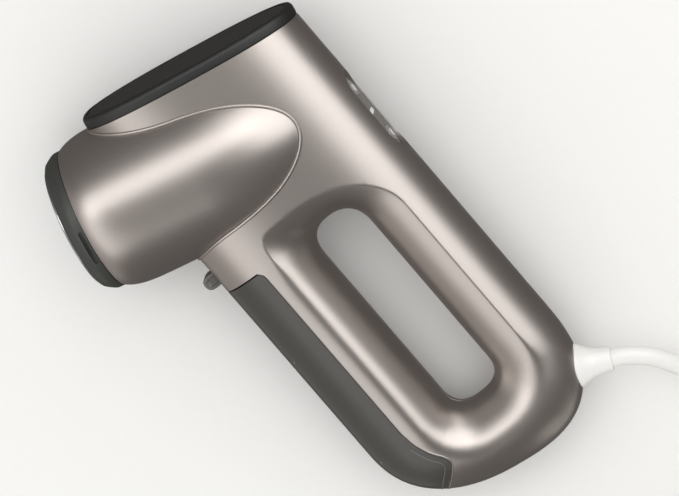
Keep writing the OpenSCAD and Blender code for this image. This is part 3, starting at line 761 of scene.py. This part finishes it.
# From the coil's top layer up into the plug's tail
rise = [[309.5, 67, 27.4], [305, 52.5, 33], [297, 41.5, 39.5], [286, 35, 44], [275, 33, 45.2],
        [268, 33, 45.2]]
centreline = through(np.vstack([route, coil, rise]) / 1000, 6)
flex = swept("flex", centreline, circle(CORD_D / 2000, 20))
tie(flex, nodes=["cord", "cord_coil"], slot="cord_white")

# Strap round the coil, worn slightly loose: a rounded band swept round three cords by three
strap_at = np.array([COIL_AT[0], COIL_AT[1] - 47.5, 0])
BUNDLE_MID, STRAP_WIDE, STRAP_TALL, STRAP_TURN = 14.1, 14.2, 13.5, 5.0
a = np.linspace(0, 2 * math.pi, 160, endpoint=False)
loop_y = np.sign(np.cos(a)) * (STRAP_WIDE - STRAP_TURN) + STRAP_TURN * np.cos(a)
loop_z = np.sign(np.sin(a)) * (STRAP_TALL - STRAP_TURN) + STRAP_TURN * np.sin(a)
loop = resample(np.stack([loop_y, loop_z], 1), 0.8, True)
strap_path = strap_at + np.stack([0 * loop[:, 0], loop[:, 0], loop[:, 1] + BUNDLE_MID], 1)
c, s = super_wave(np.linspace(0, 2 * math.pi, 28, endpoint=False), 5)
band = np.stack([0.55 * c, 6.0 * s], 1)
strap = swept("strap", strap_path / 1000, band / 1000, True, up=(1, 0, 0))
tie(strap, nodes=["cord_tie"], slot="black_rubber")

# Two-pin plug on the coil: a ribbed tail, a shoulder, a body with a fine ring round it, and two pins
PLUG_AT = np.array([249, 33, 45.2])


def plug_point(u, v, t):
    """A point of the plug's frame: its axis runs towards -X."""
    u, v, t = np.broadcast_arrays(u, v, t)
    return PLUG_AT + np.stack([-t, v, u], -1)


tail_t = np.linspace(-26, -13, 30)
tail_r = 5.3 + 3.4 * ((tail_t + 26) / 13) ** 1.6 + 0.28 * np.cos((tail_t + 26) / 13 * 5 * 2 * math.pi)
plug_profile = [(4.4, -26), *zip(tail_r, tail_t), (9.3, -11.6), (10.6, -8), (12.6, -3.4), (14.4, -0.9),
                (15.9, 0.5), (16.7, 2.0), (17, 3.6), (17, 10), (16.8, 10.3), (16.8, 11.0), (17, 11.3),
                (17, 20.6), (16.8, 21.5), (16.2, 22), (14, 22), (13.2, 21.8), (0.4, 21.8)]
plug = lathe("plug_shell", plug_profile, plug_point, 160, smooth=35)
plug.data.transform(Matrix.Scale(0.001, 4))
tie(plug, nodes=["plug_body"], slot="white_plastic")
pin_profile = [(2.4, 21.5), (2.4, 39.2), (2.2, 40.2), (1.6, 40.9), (0.2, 41)]
for name, v, nodes in (("pin_a", -9.5, ["plug_pins"]), ("pin_b", 9.5, [])):
    pin = lathe(name, pin_profile, lambda p, q, t: plug_point(p, q + v, t), 48)
    pin.data.transform(Matrix.Scale(0.001, 4))
    tie(pin, nodes=nodes, slot="steel")

# ---- materials ----

# Size of the slow clouds in tone and roughness, and the pitch of the dimples on the cap
CLOUD_MM, DIMPLE_MM = 40.0, 2.3


def linear(code):
    """An sRGB hex colour as linear RGBA."""
    v = np.array([int(code[k:k + 2], 16) / 255 for k in (1, 3, 5)])
    v = np.where(v <= 0.04045, v / 12.92, ((v + 0.055) / 1.055) ** 2.4)
    return (*v.tolist(), 1.0)


def add(tree, kind, *values, **settings):
    """Adds a node. Values fill its inputs in order, settings name its inputs or its properties.

    A value that is another node's output is linked.
    """
    node = tree.nodes.new(kind)
    wanted = []
    for name, value in settings.items():
        label = name.replace("_", " ")
        socket = node.inputs.get(label) or node.inputs.get(label.title())
        if socket is None:
            setattr(node, name, value)
        else:
            wanted.append((socket, value))
    for socket, value in [*wanted, *zip(node.inputs, values)]:
        if isinstance(value, bpy.types.NodeSocket):
            tree.links.new(value, socket)
        else:
            socket.default_value = value
    return node


def finish_of(name, dark, light, roughness, spread, grain_mm, bump_mm, metallic=0.0, **shader_inputs):
    """A material whose tone wanders between two colours, with its roughness and fine relief from noise.

    The tone is seven tenths fine grain and three tenths slow cloud. grain_mm is the size of the grain and
    bump_mm the height of its relief.
    """
    material = bpy.data.materials.new(name)
    material.use_nodes = True
    tree = material.node_tree
    tree.nodes.clear()
    place_at = add(tree, "ShaderNodeTexCoord").outputs["Object"]
    grain = add(tree, "ShaderNodeTexNoise", Vector=place_at, Scale=1000 / grain_mm, Detail=2.0).outputs[0]
    cloud = add(tree, "ShaderNodeTexNoise", Vector=place_at, Scale=1000 / CLOUD_MM, Detail=1.0).outputs[0]
    cloud_share = add(tree, "ShaderNodeMath", cloud, 0.3, operation="MULTIPLY").outputs[0]
    mixed = add(tree, "ShaderNodeMath", grain, 0.7, cloud_share, operation="MULTIPLY_ADD").outputs[0]
    tone = add(tree, "ShaderNodeMix", mixed, data_type="RGBA")
    tone.inputs[6].default_value, tone.inputs[7].default_value = linear(dark), linear(light)
    rough = add(tree, "ShaderNodeMapRange", Value=cloud, To_Min=roughness - spread, To_Max=roughness + spread)
    relief = add(tree, "ShaderNodeBump", Height=grain, Distance=bump_mm / 1000, Strength=1.0)
    shader = add(tree, "ShaderNodeBsdfPrincipled", Base_Color=tone.outputs[2], Roughness=rough.outputs[0],
                 Normal=relief.outputs[0], Metallic=metallic, **shader_inputs)
    add(tree, "ShaderNodeOutputMaterial", shader.outputs[0])
    return material


def wear(obj, material):
    """Gives a piece its only material."""
    obj.data.materials.clear()
    obj.data.materials.append(material)


# Satin metallic paint: wide soft highlights and warm brown darks, with a very fine flake
paint = finish_of("satin_titanium_paint", "#ABA49F", "#BCB5B0", 0.37, 0.02, 0.35, 0.0012, 0.92)
# Moulded black plastic: a dull sheen over a fine leather-like grain
black = finish_of("black_moulded_plastic", "#191918", "#232322", 0.5, 0.04, 0.5, 0.006)
# The cap's face: the same plastic with rows of round dimples, drawn coarser than real ones so as to show,
# with painted light and shade on them: the tone runs between near black and grey with the dimple pattern
dimpled = finish_of("dimpled_black_plastic", "#040404", "#343431", 0.46, 0.04, 0.5, 0.0)
tree = dimpled.node_tree
place_at = add(tree, "ShaderNodeTexCoord").outputs["Object"]
waves = []
for axis in ([0, 0, 1], [math.sin(CAP_TURN), math.cos(CAP_TURN), 0]):
    count = SEAT @ np.array(axis, float) * 2 * math.pi * 1000 / DIMPLE_MM
    along = add(tree, "ShaderNodeVectorMath", place_at, count, operation="DOT_PRODUCT").outputs["Value"]
    waves.append(add(tree, "ShaderNodeMath", along, operation="SINE").outputs[0])
dots = add(tree, "ShaderNodeMath", *waves, operation="MULTIPLY").outputs[0]
# Painted shade and sheen: the dimple pattern sets the tone
depth = add(tree, "ShaderNodeMath", dots, -1.4, 1.0, operation="MULTIPLY_ADD").outputs[0]
for node in tree.nodes:
    if node.type == "BUMP":
        tree.links.new(dots, node.inputs["Height"])
        node.inputs["Distance"].default_value = 0.0002
    # The tone follows the dimples, as painted shade and sheen
    if node.type == "MIX":
        tree.links.new(depth, node.inputs[0])
# Charcoal heat-resistant plastic: matte, faintly green
charcoal = finish_of("charcoal_moulded_plastic", "#323430", "#3F413D", 0.46, 0.04, 0.4, 0.004)
# Smoky clear plastic: dark and glossy, light comes through a little
smoke = finish_of("smoky_clear_plastic", "#4A4844", "#52504C", 0.3, 0.02, 1.2, 0.0,
                  Transmission_Weight=0.25, IOR=1.49)
# Painted glow of thick clear plastic: a paler smoky tone, with no light coming through, that stands for the
# light gathering in the tank's inner edge and pips; on the latch's tab it is partly the tab's own smoky tone
smoke_painted_glow = finish_of("smoky_plastic_edge", "#5C5B57", "#6A6965", 0.3, 0.02, 1.2, 0.0)
# Moulded grey plastic of the control panel: satin, so the recess reads as a soft even grey
panel_grey = finish_of("satin_grey_plastic", "#7B7976", "#8A8784", 0.36, 0.03, 0.4, 0.002)
# Light grey moulded button caps: a step paler and duller than the panel round them
button_grey = finish_of("light_grey_button_plastic", "#8F8D8A", "#9E9C99", 0.4, 0.03, 0.4, 0.002)
# Milky diffuser and printed signs: near white and fairly glossy, the brightest spots on the panel
milk = finish_of("milky_diffuser", "#EDEDEA", "#FAFAF8", 0.3, 0.02, 0.8, 0.0)
# White moulded plastic of the strain relief and the plug: smooth, with broad dull highlights
white = finish_of("white_moulded_plastic", "#EDECE8", "#F6F5F2", 0.42, 0.03, 0.5, 0.003)
# White flexible cord sheath: soft sheen, slight waviness
sheath = finish_of("white_cord_sheath", "#ECEBE7", "#F5F4F1", 0.48, 0.04, 1.5, 0.02)
# Satin aluminium of the steam plate: a pale even metal that blurs what it mirrors
aluminium = finish_of("satin_aluminium", "#BFC2C4", "#CFD2D4", 0.28, 0.04, 0.25, 0.001, 1.0)
# Cast aluminium of the boiler: a rough pale skin without clear reflections
cast = finish_of("cast_aluminium", "#9C9E9F", "#B4B6B7", 0.5, 0.08, 1.0, 0.03, 1.0)
# Zinc plated steel of screws and pins: bright, with small sharp highlights
zinc = finish_of("plated_steel", "#C4C6C8", "#D6D8DA", 0.22, 0.04, 0.3, 0.001, 1.0)
# Black rubber of the strap and the mounts: nearly matte
rubber = finish_of("black_rubber", "#1B1B1A", "#262625", 0.7, 0.05, 0.6, 0.01)
# Red silicone of the gasket and the wires: a waxy dull red
red = finish_of("red_silicone", "#8E2B22", "#A63A2E", 0.5, 0.05, 1.0, 0.01)
# Green circuit board lacquer: dark and shiny
green = finish_of("green_board_lacquer", "#1F4A2C", "#2C5E3A", 0.3, 0.05, 1.5, 0.004)
# Blue moulded parts on the board: plain satin plastic
blue = finish_of("blue_component_plastic", "#273A5E", "#33486E", 0.4, 0.05, 0.6, 0.003)
# Oxidised steel sheath of the heater: brownish and dull from the heat
oxide = finish_of("oxidised_steel", "#5A544D", "#76706A", 0.45, 0.08, 0.8, 0.01, 1.0)
# Mica sheet and ceramic: straw-coloured, flecked, with a slight gloss
mica = finish_of("mica_sheet", "#A89C7C", "#C9BE9F", 0.4, 0.1, 2.5, 0.01)
# Dark grey inner mouldings: plain dull plastic that nobody sees in use
inner_grey = finish_of("inner_grey_plastic", "#56524E", "#66625E", 0.5, 0.05, 0.6, 0.006)
# Milky silicone hoses: pale and waxy
hose = finish_of("milky_silicone", "#D6D2C8", "#E4E1D8", 0.4, 0.04, 1.0, 0.005)

# The finish of each material slot
by_slot = {
    "painted_shell": paint, "black_trim": black, "ring_plastic": charcoal, "plate_metal": aluminium,
    "boiler_metal": cast, "steel": zinc, "seal_rubber": red, "black_rubber": rubber, "heater_sheath": oxide,
    "ceramic": mica, "shield_mica": mica, "panel_grey": panel_grey, "button_grey": button_grey,
    "lens_white": milk, "board": green, "parts_blue": blue, "wire": red, "tank_smoke": smoke,
    "inner_plastic": inner_grey, "hose": hose, "white_plastic": white, "cord_white": sheath,
}
slot_of_node = {row["node"]: row["material_slot"] for row in frame["record"]["subparts"]}
for name, obj in frame["nodes"].items():
    wear(obj, by_slot[slot_of_node[name]])
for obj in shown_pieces():
    if "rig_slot" in obj:
        wear(obj, by_slot[obj["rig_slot"]])
    # The tank's pale inner lines and pips, and the latch's tab, take the painted glow
    if obj.name.endswith("_inner") or "_pip_" in obj.name or obj.name == "latch_tab":
        wear(obj, smoke_painted_glow)
wear(insert, dimpled)

# ---- table and light ----

# A pale matte table that isn't mirrored in the object
floor = new_object("floor", np.array([[-3, -3, 0], [3, -3, 0], [3, 3, 0], [-3, 3, 0]], float), [[0, 1, 2, 3]])
floor.data.materials.append(finish_of("pale_table", "#F2F1EF", "#F5F4F2", 0.6, 0.02, 3.0, 0.0))


def softbox(name, lean_x, lean_y, size, radiance, sheen=True, distance=1.5, spin=0, colour="#FFFFFF"):
    """A soft area light over the object, leaning in degrees towards the base and the handle's back.

    With sheen it is seen in glossy surfaces only; without, it only lights matte ones. Spin turns it about its
    middle.
    """
    d = SEAT @ np.array([math.tan(math.radians(lean_x)), math.tan(math.radians(lean_y)), 1.0])
    aim_light(name, d / np.linalg.norm(d), size, radiance, sheen, distance, spin, colour)


def aim_light(name, d, size, radiance, sheen, distance, spin, colour):
    """An area light at a distance along a unit direction, facing back along it."""
    data = bpy.data.lights.new(name, "AREA")
    data.shape = "RECTANGLE"
    data.size, data.size_y = size
    data.energy = radiance * math.pi * size[0] * size[1]
    data.color = linear(colour)[:3]
    obj = bpy.data.objects.new(name, data)
    x = np.cross([0.0, 1, 0] if abs(d[1]) < 0.9 else [1.0, 0, 0], d)
    x /= np.linalg.norm(x)
    x = x * math.cos(math.radians(spin)) + np.cross(d, x) * math.sin(math.radians(spin))
    stand = np.eye(4)
    stand[:3, :3] = np.stack([x, np.cross(d, x), d], 1)
    stand[:3, 3] = d * distance
    obj.matrix_world = Matrix(stand.tolist())
    obj.visible_diffuse, obj.visible_glossy = not sheen, sheen
    obj.visible_camera = False
    scene.collection.objects.link(obj)


# Long soft bands: along the back of the body and the leg, over the head, and on the front of the flank
softbox("key", -22, 47, (1.9, 1.2), 2.6)
softbox("strip", -30, -4, (0.7, 1.9), 2.5, spin=-10)
softbox("front", 5, -42, (2.2, 0.85), 1.25)
# Dim walls on all six sides, so that the darks keep their colour; the one before the steam plate is brighter
for axis in range(3):
    for way in (1, -1):
        direction = np.zeros(3)
        direction[axis] = way
        radiance = 0.5 if (axis, way) == (1, -1) else 0.13
        aim_light("dim_wall_%d%d" % (axis, way > 0), direction, (6, 6), radiance, True, 3.0, 0, "#F6EFEA")
# The only light on matte surfaces, from above, which also gives the table its soft shadow
softbox("top", -8, 10, (1.8, 1.8), 0.75, sheen=False, distance=1.8)
floor.visible_glossy = False

# A near-white room that lights everything evenly and isn't mirrored
world = bpy.data.worlds.new("studio")
scene.world = world
world.use_nodes = True
world.node_tree.nodes["Background"].inputs[0].default_value = linear("#FAFAF9")
world.node_tree.nodes["Background"].inputs[1].default_value = 0.9
world.cycles_visibility.glossy = False
scene.view_settings.view_transform = "Standard"
